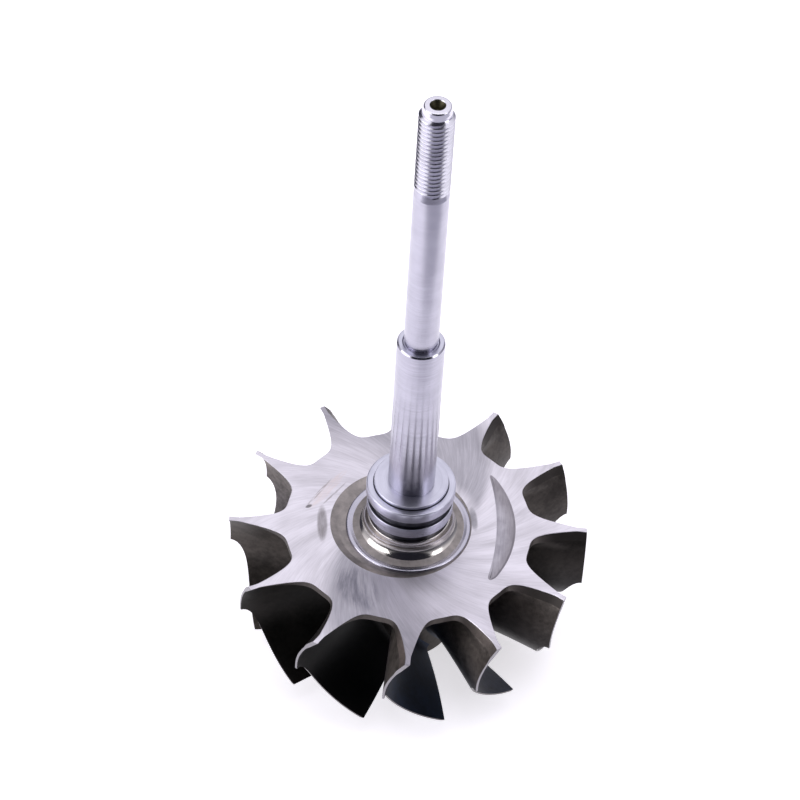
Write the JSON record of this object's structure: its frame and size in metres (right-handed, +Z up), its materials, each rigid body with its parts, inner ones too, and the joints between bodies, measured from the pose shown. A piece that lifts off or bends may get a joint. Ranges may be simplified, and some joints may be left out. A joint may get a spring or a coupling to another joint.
{
  "type": "turbocharger turbine wheel with shaft",
  "caption": "Cast radial turbine wheel with curved blades and a scalloped back disc, welded to its stepped, ground and threaded shaft.",
  "frame": {"origin": "middle of the flat end of the nose, on the shaft's axis, where the wheel stands", "axes": "+Z up the shaft towards its threaded end, -Y towards the picture's camera"},
  "size_m": [0.068, 0.068, 0.1359],
  "materials": {
    "as_cast_alloy": "satin as-cast nickel alloy, dark grey-brown",
    "brushed_back_face": "ground flat, fine swirling scratches, one shallow crescent ground out for balance",
    "polished_neck": "turned and polished cast alloy, warm grey",
    "ground_shaft_steel": "ground bright steel, cool grey"
  },
  "bodies": {
    "root": {"nose": "as_cast_alloy", "hub": "as_cast_alloy", "blade_01": "as_cast_alloy", "blade_02": "as_cast_alloy", "blade_03": "as_cast_alloy", "blade_04": "as_cast_alloy", "blade_05": "as_cast_alloy", "blade_06": "as_cast_alloy", "blade_07": "as_cast_alloy", "blade_08": "as_cast_alloy", "blade_09": "as_cast_alloy", "blade_10": "as_cast_alloy", "blade_11": "as_cast_alloy", "blade_12": "as_cast_alloy", "back_disc": "brushed_back_face", "weld_neck": "polished_neck", "seal_boss": "ground_shaft_steel", "journal": "ground_shaft_steel", "compressor_seat": "ground_shaft_steel", "threaded_end": "ground_shaft_steel"}
  },
  "joints": []
}
